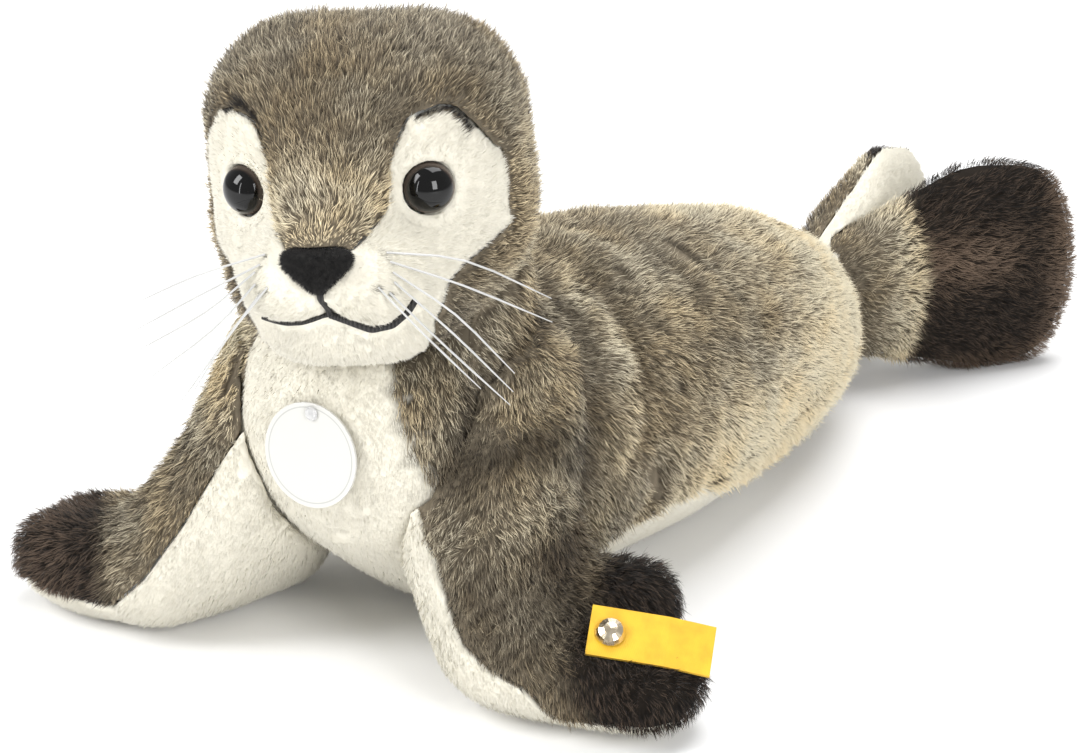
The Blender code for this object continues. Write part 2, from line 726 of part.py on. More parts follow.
def main():
    clear_scene()
    parts = add_collection("plush_seal")

    head, head_filling = head_form()
    body, body_filling = body_form()
    fronts = {side: front_flipper_form(side) for side in ("left", "right")}
    hinds = {side: hind_flipper_form(side) for side in ("left", "right")}
    face_skin = skin_of(head)

    uncut = {"head": duplicate(head, "whole_head"), "body": duplicate(body, "whole_body")}
    uncut["hind"] = duplicate(hinds["left"][0], "whole_hind")
    head_cover = hollowed(head, head_filling, [])
    body_cover = hollowed(body, body_filling, [uncut["head"]])
    body_skin = skin_of(body)

    mask_outline = MASK + [(-x, z) for x, z in MASK[::-1]] + [(-x, z) for x, z in BRIDGE[::-1]] + BRIDGE
    face, crown = split_cover(head_cover, ("face", "crown"), mask_outline, -80, -5.5, HEAD_TURN, HEAD_AT)
    sideways = Matrix.Rotation(math.radians(90), 3, "Z")
    belly, back = split_cover(body_cover, ("belly", "back"), BELLY, -90, 120, sideways)

    finished = []
    finished += [(item, item.name, BLACK, 0.08) for item in add_eyes(face_skin, [face, crown], head_filling)]
    finished += [(item, item.name, BLACK, 0.8) for item in add_nose(face_skin, [face, crown], head_filling)]
    finished += [(item, item.name, BLACK, 0.6) for item in add_mouth(face_skin)]
    finished += [(item, item.name, NYLON, 0.3) for item in add_whiskers(face_skin)]
    finished += [(item, item.name, CREAM, 0.5) for item in add_tag(body_skin, belly, body_filling)]
    finished += [
        (crown, "head_brown_cover", BROWN, 0.9),
        (face, "head_white_cover", CREAM, 0.9),
        (head_filling, "head_stuffing", FIBRE, 0.9),
        (back, "body_brown_cover", BROWN, 0.9),
        (belly, "body_white_cover", CREAM, 0.9),
        (body_filling, "body_stuffing", FIBRE, 0.9),
    ]

    for side, sign in (("left", 1), ("right", -1)):
        form, filling = fronts[side]
        cover = hollowed(form, filling, [uncut["body"], uncut["head"]])
        skin = skin_of(form)
        seam = [(FRONT_MIDDLE + sign * x, z) for x, z in FRONT_SEAM[side]]
        seam += [(FRONT_MIDDLE + sign * 110, -10), (FRONT_MIDDLE - sign * 30, -10), (FRONT_MIDDLE - sign * 30, 100)]
        white, brown = split_cover(cover, ("white", "brown"), seam, -120, 20)
        if side == "left":
            finished += [(item, item.name, BROWN, 0.4) for item in add_label(skin, [white, brown], filling)]
        finished += [
            (brown, "front_flipper_%s_brown_cover" % side, BROWN, 0.9),
            (white, "front_flipper_%s_white_cover" % side, CREAM, 0.9),
            (filling, "front_flipper_%s_stuffing" % side, FIBRE, 0.9),
        ]
        drop(form)

    for side in ("left", "right"):
        form, filling = hinds[side]
        neighbours = [uncut["body"]] if side == "left" else [uncut["body"], uncut["hind"]]
        cover = hollowed(form, filling, neighbours)
        along, outward = hind_frame(side)
        seam = {"left": -4, "right": 0}[side]
        half = [(-60, -30), (120, -30), (120, seam), (-60, seam)]
        turn = Matrix((along, outward.cross(along), outward)).transposed()
        white, brown = split_cover(cover, ("white", "brown"), half, -80, 80, turn, HIND_ROOT)
        finished += [
            (brown, "hind_flipper_%s_brown_cover" % side, DARK, 0.9),
            (white, "hind_flipper_%s_white_cover" % side, CREAM, 0.9),
            (filling, "hind_flipper_%s_stuffing" % side, FIBRE, 0.9),
        ]
        drop(form)

    drop(head, body, *uncut.values())
    origin = underside_middle([piece[0] for piece in finished])
    for item, name, colour, roughness in finished:
        finish(item, name, colour, roughness, origin, parts)


main()
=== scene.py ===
import math

import bpy
import numpy as np
from mathutils import Matrix, Vector
from mathutils.bvhtree import BVHTree
from mathutils.kdtree import KDTree


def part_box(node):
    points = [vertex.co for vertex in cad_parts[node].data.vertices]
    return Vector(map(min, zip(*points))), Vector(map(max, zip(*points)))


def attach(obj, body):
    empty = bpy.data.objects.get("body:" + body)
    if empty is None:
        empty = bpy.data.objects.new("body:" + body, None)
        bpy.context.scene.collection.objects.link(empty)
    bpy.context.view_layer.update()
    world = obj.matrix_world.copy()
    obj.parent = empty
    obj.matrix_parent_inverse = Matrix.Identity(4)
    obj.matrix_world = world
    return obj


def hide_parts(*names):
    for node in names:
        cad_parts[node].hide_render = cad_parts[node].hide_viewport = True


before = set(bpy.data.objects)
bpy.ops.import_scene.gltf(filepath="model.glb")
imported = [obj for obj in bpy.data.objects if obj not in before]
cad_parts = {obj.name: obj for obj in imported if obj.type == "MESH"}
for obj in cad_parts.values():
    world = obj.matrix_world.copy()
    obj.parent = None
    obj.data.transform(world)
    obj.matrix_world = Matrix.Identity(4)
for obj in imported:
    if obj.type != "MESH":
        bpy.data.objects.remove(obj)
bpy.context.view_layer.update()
MM = 0.001


# The studio: a plain pale floor in a white room, lit by a soft box high on the
# left, a weaker one on the right, a tall thin one by the camera and a large one
# over the top. The camera stands where the photograph was taken from.
CAMERA_TURN, CAMERA_DROP = math.radians(25), math.radians(24)
CAMERA_PLACE = (0.3515, -0.773216, 0.4069)
LENS = 117.0
ROOM_LIGHT = 0.45
FLOOR_SIDE, FLOOR_DEPTH = 12, 0.0002
PAPER_WHITE = (0.93, 0.93, 0.93, 1)

across = Vector((math.cos(CAMERA_TURN), math.sin(CAMERA_TURN), 0))
away = Vector((-math.sin(CAMERA_TURN), math.cos(CAMERA_TURN), 0))
ahead = away * math.cos(CAMERA_DROP) - Vector((0, 0, math.sin(CAMERA_DROP)))
upward = away * math.sin(CAMERA_DROP) + Vector((0, 0, math.cos(CAMERA_DROP)))
lens = bpy.data.cameras.new("camera")
lens.lens = LENS
lens.sensor_width = 36.0
lens.clip_start = 0.01
camera = bpy.data.objects.new("camera", lens)
camera.matrix_world = Matrix((
    (across.x, upward.x, -ahead.x, CAMERA_PLACE[0]),
    (across.y, upward.y, -ahead.y, CAMERA_PLACE[1]),
    (across.z, upward.z, -ahead.z, CAMERA_PLACE[2]),
    (0, 0, 0, 1),
))
bpy.context.collection.objects.link(camera)
bpy.context.scene.camera = camera
bpy.context.scene.view_settings.view_transform = "Standard"

for name, place, aim, width, length, watts in (
    ("light_left", (-0.75, -0.85, 0.95), (0, 0, 0.06), 0.5, 0.8, 14.0),
    ("light_right", (0.95, -0.75, 0.55), (0, 0, 0.08), 0.4, 0.7, 9.0),
    ("light_strip", (-0.28, -1.0, 0.35), (0, 0, 0.1), 0.05, 0.7, 1.2),
    ("light_top", (0.1, 0.35, 1.2), (0.02, 0, 0.05), 0.9, 0.9, 14.0),
):
    light = bpy.data.lights.new(name, "AREA")
    light.shape = "RECTANGLE"
    light.size, light.size_y = width, length
    light.energy = watts
    softbox = bpy.data.objects.new(name, light)
    softbox.location = place
    softbox.rotation_euler = (Vector(aim) - Vector(place)).to_track_quat("-Z", "Y").to_euler()
    bpy.context.collection.objects.link(softbox)

room = bpy.data.worlds.new("room")
room.use_nodes = True
room.node_tree.nodes["Background"].inputs["Color"].default_value = (1, 1, 1, 1)
room.node_tree.nodes["Background"].inputs["Strength"].default_value = ROOM_LIGHT
bpy.context.scene.world = room

bpy.ops.object.select_all(action="DESELECT")
bpy.ops.mesh.primitive_plane_add(size=FLOOR_SIDE, location=(0, 0, -FLOOR_DEPTH))
floor = bpy.context.object
floor.name = "floor"
bpy.ops.object.transform_apply(location=True, rotation=True, scale=True)
paper = bpy.data.materials.new("studio_paper")
paper.use_nodes = True
paper.node_tree.nodes["Principled BSDF"].inputs["Base Color"].default_value = PAPER_WHITE
paper.node_tree.nodes["Principled BSDF"].inputs["Roughness"].default_value = 0.75
floor.data.materials.append(paper)


# The covers: twelve panels of woven plush cloth, cut to a pattern, sewn edge
# to edge and drawn over the stuffing. This is the cloth itself, with the folds
# behind the shoulder and the puffs of the muzzle.
FLIPPERS = ("front_flipper_left", "front_flipper_right", "hind_flipper_left", "hind_flipper_right")
PARTS = ("body", "head", *FLIPPERS)
# where the head sits, less the shift that packing gave the whole part, and
# how far it turns, nods and leans
SHIFT_X, SHIFT_Y = 8.7486, 54.119
HEAD_PLACE = Vector((3 - SHIFT_X, -50 - SHIFT_Y, 118)) * MM
HEAD_TURN = (Matrix.Rotation(math.radians(14), 3, "Z") @ Matrix.Rotation(math.radians(-10), 3, "X")
             @ Matrix.Rotation(math.radians(-5), 3, "Y"))
# each fold: the places it runs through in millimetres, its depth (a rise is
# below nought) and how far it spreads to each side
FOLDS = {
    "body": (
        (((21, -65, 82), (30, -69, 76), (36, -73, 69),
          (40, -76, 63), (42, -82, 56), (43, -85, 49)), 1.9, 3.2),
        (((24, -60, 81), (33, -63, 74), (40, -64, 68),
          (44, -67, 60), (45, -72, 52), (45, -75, 46)), -2.2, 3.4),
        (((24, -48, 79), (33, -53, 75), (39, -54, 69),
          (45, -59, 61), (47, -65, 53), (47, -69, 46)), 1.9, 3.4),
        (((12, -34, 86), (24, -36, 81), (38, -36, 75), (46, -42, 66)), -1.2, 4.5),
        (((15, -27, 84), (27, -26, 80), (40, -25, 74), (48, -30, 64)), 1.0, 4.0),
        (((50, -54, 49), (51, -55, 41), (51, -55, 30)), 1.0, 3.5),
        (((54, -42, 47), (55, -43, 39), (53, -44, 30)), 1.0, 3.5),
    ),
    "head": (),
    "front_flipper_left": (
        (((22, -126, 59), (27, -124, 61), (33, -120, 63),
          (37, -114, 65), (41, -105, 64)), 1.5, 3.2),
        (((26, -128, 45), (32, -126, 46), (40, -120, 49), (46, -108, 52)), -1.2, 7.0),
    ),
    "front_flipper_right": (),
    "hind_flipper_left": (
        (((57, 96, 49), (61, 94, 38), (66, 97, 27),
          (64, 97, 16), (60, 98, 8)), 1.2, 3.0),
        (((66, 104, 40), (76, 111, 43), (90, 122, 42)), 1.0, 3.5),
        (((66, 99, 20), (80, 110, 21), (93, 121, 20)), 1.4, 3.5),
    ),
    "hind_flipper_right": (),
}
# the furthest that a fold or puff may move the cloth, in and out
DEEPEST, HIGHEST = 1.9, 3
# the puffs of the muzzle: the place across and up on the face, the rise and
# the spread; and the mouth's lines on the face, with the groove that they pull
LIPS = (((9.0, -17.5), 1.3, 5.5), ((-8.5, -17.0), 1.3, 5.5))
MOUTH = {
    "middle": ((0, -13.2), (0.2, -17.5), (0.3, -22.2)),
    "left": ((0.3, -22.2), (1.6, -22.6), (4.5, -23.6), (9, -26.2),
             (13.5, -25.6), (17, -22.8), (18.8, -20.2)),
    "right": ((0.3, -22.2), (-1.6, -22.6), (-5.5, -23.8), (-10, -24.4), (-16.5, -23.8)),
}
GROOVE_DEPTH, GROOVE_WIDTH = 1.1, 1.5
# the muzzle lies further forward than this in the head's own frame
MUZZLE_AT = -15
# the outside of a cover is further than this from the stuffing, and faces
# away from it at least this squarely
OUTSIDE_FROM, SQUARENESS = 1.3, 0.25
SAME_PLACE = 0.01 * MM


def finish_of(name, roughness):
    """A new material with its shader, its node tree and the coordinates of the piece."""
    material = bpy.data.materials.new(name)
    material.use_nodes = True
    tree = material.node_tree
    shader = tree.nodes["Principled BSDF"]
    shader.inputs["Roughness"].default_value = roughness
    places = tree.nodes.new("ShaderNodeTexCoord")
    return material, tree, shader, places.outputs["Object"]


def grain(tree, places, scale, detail=3.0, rough=0.55):
    noise = tree.nodes.new("ShaderNodeTexNoise")
    noise.inputs["Scale"].default_value = scale
    noise.inputs["Detail"].default_value = detail
    noise.inputs["Roughness"].default_value = rough
    tree.links.new(places, noise.inputs["Vector"])
    return noise.outputs["Fac"]


def ramp(tree, value, *stops):
    """Colours along a value, as (place, (r, g, b))."""
    node = tree.nodes.new("ShaderNodeValToRGB")
    band = node.color_ramp
    while len(band.elements) < len(stops):
        band.elements.new(0.5)
    for element, (place, colour) in zip(band.elements, stops):
        element.position = place
        element.color = (*colour, 1)
    tree.links.new(value, node.inputs["Fac"])
    return node.outputs["Color"]


def tint(tree, shader, value, *stops):
    """Colours a finish along a value, as (place, (r, g, b))."""
    tree.links.new(ramp(tree, value, *stops), shader.inputs["Base Color"])


def mottle(tree, shader, places, scale, dark, light, detail=3.0):
    """Colours a finish in soft patches, from dark to light."""
    tint(tree, shader, grain(tree, places, scale, detail), (0.3, dark), (0.7, light))


def mixed(tree, share, first, second):
    """A colour between two others. Each is a socket, or the second is (r, g, b)."""
    node = tree.nodes.new("ShaderNodeMix")
    node.data_type = "RGBA"
    # a Mix node has a set of sockets for each type; these are the colours'
    colour_a, colour_b, result = node.inputs[6], node.inputs[7], node.outputs[2]
    tree.links.new(share, node.inputs["Factor"])
    tree.links.new(first, colour_a)
    if isinstance(second, tuple):
        colour_b.default_value = (*second, 1)
    else:
        tree.links.new(second, colour_b)
    return result


def bump(tree, shader, height, strength, depth):
    node = tree.nodes.new("ShaderNodeBump")
    node.inputs["Strength"].default_value = strength
    node.inputs["Distance"].default_value = depth
    tree.links.new(height, node.inputs["Height"])
    tree.links.new(node.outputs["Normal"], shader.inputs["Normal"])


def backing(name, dark, light, dyed):
    """The woven ground of the plush, dyed where the hair on it is dyed."""
    material, tree, shader, places = finish_of(name, 0.95)
    shader.inputs["Specular IOR Level"].default_value = 0.15
    dye = tree.nodes.new("ShaderNodeAttribute")
    dye.attribute_name = "dye"
    plain = ramp(tree, grain(tree, places, 260.0), (0.3, dark), (0.7, light))
    tree.links.new(mixed(tree, dye.outputs["Fac"], plain, dyed), shader.inputs["Base Color"])
    bump(tree, shader, grain(tree, places, 900.0, 1.0), 0.5, 0.3 * MM)
    return material


BROWN_GROUND = ((0.10, 0.084, 0.060), (0.19, 0.158, 0.113))
DARK_GROUND = (0.012, 0.009, 0.007)
CREAM_GROUND = ((0.70, 0.665, 0.565), (0.77, 0.74, 0.64))
brown_backing = backing("brown_backing", *BROWN_GROUND, DARK_GROUND)
white_backing = backing("white_backing", *CREAM_GROUND, BROWN_GROUND[0])
dark_backing = backing("dark_backing", *BROWN_GROUND, DARK_GROUND)


def tree_of(objects):
    """One search tree over the surfaces of several pieces."""
    places, faces = [], []
    for o in objects:
        start = len(places)
        places += [v.co.copy() for v in o.data.vertices]
        faces += [[start + i for i in p.vertices] for p in o.data.polygons]
    return BVHTree.FromPolygons(places, faces)


def near_line(points, line):
    """How far each point lies from a line of places, which are in millimetres."""
    nearest = np.full(len(points), 1.0)
    for start, end in zip(line, line[1:]):
        start, run = np.array(start) * MM, (np.array(end) - np.array(start)) * MM
        t = np.clip(((points - start) @ run) / (run @ run), 0, 1)[:, None]
        nearest = np.minimum(nearest, np.linalg.norm(points - start - t * run, axis=1))
    return nearest


def in_head(points):
    """Places in the head's own frame, in millimetres: x to its left, y back and z up."""
    return (points - np.array(HEAD_PLACE)) @ np.array(HEAD_TURN) / MM


def flat_line(points, line):
    """How far places at the front of the head lie from a line on its face, in millimetres."""
    local = in_head(points)
    face = np.stack([local[:, 0], np.zeros(len(points)), local[:, 2]], axis=1) * MM
    return near_line(face, [(x, 0, z) for x, z in line]) / MM, local


def rounded_copy(node, name, levels):
    """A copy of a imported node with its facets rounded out."""
    bpy.ops.object.select_all(action="DESELECT")
    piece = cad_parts[node].copy()
    piece.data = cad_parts[node].data.copy()
    piece.name = piece.data.name = name
    bpy.context.collection.objects.link(piece)
    bpy.context.view_layer.objects.active = piece
    piece.select_set(True)
    bpy.ops.object.mode_set(mode="EDIT")
    bpy.ops.mesh.select_all(action="SELECT")
    bpy.ops.mesh.remove_doubles(threshold=SAME_PLACE)
    bpy.ops.object.mode_set(mode="OBJECT")
    smoother = piece.modifiers.new("rounded", "SUBSURF")
    smoother.levels = smoother.render_levels = levels
    bpy.ops.object.modifier_apply(modifier=smoother.name)
    bpy.ops.object.shade_smooth()
    piece.data.materials.clear()
    return piece


stuffings = tree_of([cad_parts[part + "_stuffing"] for part in PARTS])
outsides = {}


def sewn_cover(node, part, material):
    """The cloth of one cover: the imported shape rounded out, with its folds pressed in."""
    cover = rounded_copy(node, node + "_cloth", 1)
    points = np.array([v.co[:] for v in cover.data.vertices])
    normals = np.array([v.normal[:] for v in cover.data.vertices])
    nearest = np.array([stuffings.find_nearest(Vector(p))[0][:] for p in points])
    off = points - nearest
    depth = np.linalg.norm(off, axis=1)
    outer = (depth > OUTSIDE_FROM * MM) & ((off * normals).sum(axis=1) > SQUARENESS * depth)
    rise = np.zeros(len(points))
    for line, deep, wide in FOLDS[part]:
        rise -= deep * np.exp(-((near_line(points, line) / MM / wide) ** 2))
    if part == "head":
        for (x, z), high, wide in LIPS:
            gap, local = flat_line(points, ((x, z), (x + 0.1, z)))
            rise += high * np.exp(-((gap / wide) ** 2)) * (local[:, 1] < MUZZLE_AT)
        for line in MOUTH.values():
            gap, local = flat_line(points, line)
            groove = GROOVE_DEPTH * np.exp(-((gap / GROOVE_WIDTH) ** 2))
            rise -= groove * (local[:, 1] < MUZZLE_AT)
    points += normals * (rise.clip(-DEEPEST, HIGHEST) * outer * MM)[:, None]
    points[:, 2] = np.maximum(points[:, 2], 0)
    cover.data.vertices.foreach_set("co", points.ravel())
    cover.data.update()
    outsides[cover.name] = outer
    cover.data.materials.append(material)
    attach(cover, "root")
    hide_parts(node)
    return cover


covers = {}
for part in PARTS:
    if part.startswith("hind"):
        cloth, slot = dark_backing, "dark_plush"
    else:
        cloth, slot = brown_backing, "brown_plush"
    covers[part, "brown"] = sewn_cover(part + "_brown_cover", part, cloth)
    covers[part, "white"] = sewn_cover(part + "_white_cover", part, white_backing)


# The stuffing: loose polyester fibre blown into the head, the body and each
# flipper. The covers hide it all.
def dress(node, material):
    """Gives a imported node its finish."""
    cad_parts[node].data.materials.clear()
    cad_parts[node].data.materials.append(material)


filling, tree, shader, places = finish_of("polyester_fibre", 0.9)
mottle(tree, shader, places, 400.0, (0.7, 0.7, 0.68), (0.88, 0.88, 0.86), detail=6.0)
bump(tree, shader, grain(tree, places, 700.0, 4.0), 0.6, 0.4 * MM)
for part in PARTS:
    dress(part + "_stuffing", filling)


# The eyes: glossy domes of moulded plastic, black in the middle with a dark
# brown see-through rim, each pushed through the cloth on a stem and held from
# inside by a toothed washer.
EYE_RADIUS, EYE_HEIGHT = 6.0 * MM, 5.6 * MM
STEM_RADIUS, STEM_LENGTH = 1.9 * MM, 5.8 * MM
PUPIL, RIM = (0.003, 0.003, 0.003), (0.085, 0.066, 0.055)

eye_plastic, tree, shader, places = finish_of("eye_plastic", 0.04)
iris = tree.nodes.new("ShaderNodeAttribute")
iris.attribute_name = "from_axis"
tint(tree, shader, iris.outputs["Fac"], (0.0, PUPIL), (0.82, PUPIL),
     (0.87, (0.03, 0.02, 0.015)), (0.94, RIM), (1.0, (0.015, 0.012, 0.01)))
shader.inputs["Specular IOR Level"].default_value = 0.35
bump(tree, shader, grain(tree, places, 90.0, 0.0), 0.04, 0.1 * MM)
washer_plastic, tree, shader, places = finish_of("washer_plastic", 0.45)
mottle(tree, shader, places, 300.0, (0.75, 0.75, 0.74), (0.82, 0.82, 0.8))


def mean_place(node):
    points = np.array([v.co[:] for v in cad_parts[node].data.vertices])
    return Vector(points.mean(axis=0))


eyes = {}
for side in ("left", "right"):
    axis = (mean_place("eye_" + side) - mean_place("eye_washer_" + side)).normalized()
    dome = [v.co.copy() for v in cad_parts["eye_" + side].data.vertices]
    top = max(dome, key=lambda p: p.dot(axis))
    seat = top - axis * EYE_HEIGHT
    bpy.ops.object.select_all(action="DESELECT")
    bpy.ops.mesh.primitive_uv_sphere_add(segments=64, ring_count=32, radius=EYE_RADIUS)
    eye = bpy.context.object
    eye.name = eye.data.name = "glossy_eye_" + side
    bpy.ops.object.mode_set(mode="EDIT")
    bpy.ops.mesh.select_all(action="SELECT")
    bpy.ops.transform.resize(value=(1, 1, EYE_HEIGHT / EYE_RADIUS))
    bpy.ops.mesh.bisect(plane_co=(0, 0, 0), plane_no=(0, 0, 1), use_fill=True, clear_inner=True)
    bpy.ops.mesh.inset(thickness=EYE_RADIUS - STEM_RADIUS)
    bpy.ops.mesh.extrude_region_move(TRANSFORM_OT_translate={"value": (0, 0, -STEM_LENGTH)})
    bpy.ops.object.mode_set(mode="OBJECT")
    off_axis = [math.hypot(v.co.x, v.co.y) / EYE_RADIUS for v in eye.data.vertices]
    eye.data.attributes.new("from_axis", "FLOAT", "POINT").data.foreach_set("value", off_axis)
    eye.data.transform(Matrix.Translation(seat) @ axis.to_track_quat("Z", "Y").to_matrix().to_4x4())
    bpy.ops.object.shade_smooth_by_angle(angle=math.radians(40))
    eye.data.materials.append(eye_plastic)
    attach(eye, "root")
    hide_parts("eye_" + side)
    dress("eye_washer_" + side, washer_plastic)
    eyes[side] = (seat, axis)


# The nose: a small pad of black velvet, sewn on over a puff of stuffing, wide
# at its top and rounded to a point where the mouth seam starts.
velvet, tree, shader, places = finish_of("black_velvet", 0.9)
tint(tree, shader, grain(tree, places, 900.0),
     (0.3, (0.004, 0.004, 0.004)), (0.75, (0.016, 0.015, 0.014)))
shader.inputs["Specular IOR Level"].default_value = 0.2
shader.inputs["Sheen Weight"].default_value = 0.04
shader.inputs["Sheen Roughness"].default_value = 0.4
bump(tree, shader, grain(tree, places, 2600.0, 1.0), 0.6, 0.15 * MM)


def middle_of(node):
    low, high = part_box(node)
    return (Vector(low) + Vector(high)) / 2


nose = rounded_copy("nose", "velvet_nose", 2)
nose.data.materials.append(velvet)
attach(nose, "root")
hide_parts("nose")
nose_place = middle_of("nose")


# The mouth: three stitched lines of thick black thread, one straight down from
# the nose and one curving out to each cheek.
THREAD_RADII = {"middle": 0.75, "left": 0.85, "right": 0.5}
# how far the thread's middle stands off the cloth, how many points it has from
# one place of its line to the next, and how far out they are cast on the face from
THREAD_STANDS, POINTS_BETWEEN, CAST_FROM = 0.55, 4, -90

thread, tree, shader, places = finish_of("black_thread", 0.7)
twist = tree.nodes.new("ShaderNodeTexWave")
twist.inputs["Scale"].default_value = 420.0
twist.inputs["Distortion"].default_value = 1.5
tree.links.new(places, twist.inputs["Vector"])
tint(tree, shader, twist.outputs["Fac"],
     (0.2, (0.006, 0.006, 0.006)), (0.8, (0.03, 0.028, 0.027)))
bump(tree, shader, twist.outputs["Fac"], 0.6, 0.2 * MM)
face = tree_of([covers["head", "white"], covers["head", "brown"]])
inward = HEAD_TURN @ Vector((0, 1, 0))
threads = []
for part, radius in THREAD_RADII.items():
    line = [Vector(spot) for spot in MOUTH[part]]
    course = [start.lerp(end, step / POINTS_BETWEEN)
              for start, end in zip(line, line[1:]) for step in range(POINTS_BETWEEN)]
    course.append(line[-1])
    bpy.ops.object.select_all(action="DESELECT")
    bpy.ops.curve.primitive_nurbs_path_add()
    cord = bpy.context.object
    cord.name = "mouth_stitch_" + part
    cord.data.splines.clear()
    spline = cord.data.splines.new("NURBS")
    spline.points.add(len(course) - 1)
    spline.use_endpoint_u = True
    for point, spot in zip(spline.points, course):
        start = HEAD_PLACE + HEAD_TURN @ (Vector((spot.x, CAST_FROM, spot.y)) * MM)
        hit = face.ray_cast(start, inward)[0]
        point.co = (*(hit - inward * THREAD_STANDS * MM), 1)
    cord.data.bevel_depth = radius * MM
    cord.data.bevel_resolution = 3
    cord.data.use_fill_caps = True
    bpy.ops.object.convert(target="MESH")
    cord = bpy.context.object
    bpy.ops.object.transform_apply(location=True, rotation=True, scale=True)
    cord.data.materials.append(thread)
    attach(cord, "root")
    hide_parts("mouth_thread_" + part)
    threads.append(cord)


# The whiskers: twelve lengths of white nylon monofilament, drawn through the
# muzzle, six a side.
nylon, tree, shader, places = finish_of("white_nylon", 0.3)
# painted shade: the white nylon is coloured mid grey, so that the thin whiskers show as shaded
# lines against the pale room
mottle(tree, shader, places, 150.0, (0.46, 0.46, 0.45), (0.54, 0.54, 0.53))
whisker_roots = []
for side in ("left", "right"):
    for number in range(1, 7):
        node = "whisker_%s_%d" % (side, number)
        dress(node, nylon)
        points = [v.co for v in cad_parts[node].data.vertices]
        whisker_roots.append(min(points, key=lambda p: (p - nose_place).length).copy())


# The hang tag: a round of plain white card on the chest, with a thin grey ring
# printed inside its edge, held by a small clear pin.
WHITE, GREY = (0.58, 0.575, 0.545), (0.42, 0.42, 0.40)
# the ramp of the card's colours reaches this far from its middle
PRINT_REACH = 14 * MM

card, tree, shader, places = finish_of("white_card", 0.45)
span = tree.nodes.new("ShaderNodeVectorMath")
span.operation = "DISTANCE"
span.inputs[1].default_value = middle_of("hang_tag")
tree.links.new(places, span.inputs[0])
share = tree.nodes.new("ShaderNodeMath")
share.operation = "MULTIPLY"
share.inputs[1].default_value = 1 / PRINT_REACH
tree.links.new(span.outputs["Value"], share.inputs[0])
tint(tree, shader, share.outputs[0], (0.0, WHITE), (0.805, WHITE),
     (0.812, GREY), (0.826, GREY), (0.833, WHITE))
bump(tree, shader, grain(tree, places, 1500.0), 0.1, 0.05 * MM)
dress("hang_tag", card)
clear, tree, shader, places = finish_of("clear_pin", 0.15)
mottle(tree, shader, places, 200.0, (0.8, 0.8, 0.8), (0.9, 0.9, 0.9))
shader.inputs["Transmission Weight"].default_value = 0.5
dress("hang_tag_pin", clear)


# The cloth label: a strip of woven yellow satin, folded once and riveted to
# the edge of the left hand with a hollow metal button. It is left plain.
satin, tree, shader, places = finish_of("yellow_satin", 0.45)
weave = tree.nodes.new("ShaderNodeTexWave")
weave.inputs["Scale"].default_value = 700.0
tree.links.new(places, weave.inputs["Vector"])
mottle(tree, shader, places, 220.0, (0.60, 0.33, 0.009), (0.68, 0.42, 0.014))
shader.inputs["Sheen Weight"].default_value = 0.1
bump(tree, shader, weave.outputs["Fac"], 0.3, 0.05 * MM)
dress("cloth_label", satin)
brass, tree, shader, places = finish_of("polished_brass", 0.22)
shader.inputs["Metallic"].default_value = 1.0
mottle(tree, shader, places, 500.0, (0.72, 0.6, 0.42), (0.85, 0.76, 0.6))
for node in ("label_button", "label_washer"):
    dress(node, brass)


# The pile: the hair of the plush cloth, woven in with the backing and brushed
# from the nose back and from the shoulders down. The brown cloth has longer,
# bent hair, dark at its root and pale at its tip; the cream has short hair.
BROWN_LENGTH, WHITE_LENGTH = 3.9 * MM, 1.6 * MM
BROWN_WIDTH, WHITE_WIDTH = 0.18 * MM, 0.24 * MM
SHORTEST = 0.4 * MM
# the share of a hair below its bend, how deep its root sits in the cloth, how
# far out its path is tried from, and how much of a blocked path it fills
BEND_AT, ROOT_DEPTH, TRIED_FROM, FILLS = 0.5, 0.2, 0.1, 0.9
# no hair reaches below this
FLOOR_LEVEL = 0.2 * MM
# how hair strays from the way that it is combed: in long and in short waves,
# each with its length and share, and every hair by itself
LONG_WAVE, SHORT_WAVE, OWN_STRAY = (16 * MM, 0.16), (3.6 * MM, 0.20), 0.14
# hair is combed away from an eye, and cut shorter by it, out to EYE_FAR
EYE_CUT, EYE_NEAR, EYE_FAR = 6.5 * MM, 7 * MM, 11 * MM


def unit(vectors):
    return vectors / np.maximum(np.linalg.norm(vectors, axis=1), 1e-9)[:, None]


def square_to(axes, vectors):
    """The ways of the vectors with what runs along their axes taken out."""
    return unit(vectors - axes * (vectors * axes).sum(axis=1)[:, None])


def smooth_step(low, high, value):
    t = np.clip((value - low) / (high - low), 0, 1)
    return t * t * (3 - 2 * t)


def ripple(points, wavelength, seed):
    """A smooth field of vectors that turns about once in a wavelength."""
    draw = np.random.default_rng(seed)
    total = np.zeros((len(points), 3))
    for _ in range(5):
        way = draw.normal(size=3)
        way *= 2 * math.pi / wavelength / np.linalg.norm(way)
        total += np.sin(points @ way + draw.uniform(0, 6.28))[:, None] * draw.normal(size=3)
    return total / 5 ** 0.5


def outer_faces(cover):
    """The triangles of the outside of a cover: corners, corner normals and areas."""
    mesh = cover.data
    mesh.calc_loop_triangles()
    corners = np.zeros(len(mesh.loop_triangles) * 3, np.int64)
    mesh.loop_triangles.foreach_get("vertices", corners)
    corners = corners.reshape(-1, 3)
    places = np.array([v.co[:] for v in mesh.vertices])
    normals = np.array([v.normal[:] for v in mesh.vertices])
    if cover.name in outsides:
        corners = corners[outsides[cover.name][corners].all(axis=1)]
    a, b, c = (places[corners[:, i]] for i in range(3))
    return places[corners], normals[corners], np.linalg.norm(np.cross(b - a, c - a), axis=1) / 2


def points_tree(points):
    tree = KDTree(len(points))
    for number, point in enumerate(points):
        tree.insert(point, number)
    tree.balance()
    return tree


def distances(points, tree):
    return np.array([tree.find(p)[2] for p in points])


def reach_of(points, tree, most):
    """How far each point lies from a surface, up to most."""
    found = np.full(len(points), most)
    for i, p in enumerate(points):
        far = tree.find_nearest(Vector(p), most)[3]
        if far is not None:
            found[i] = far
    return found


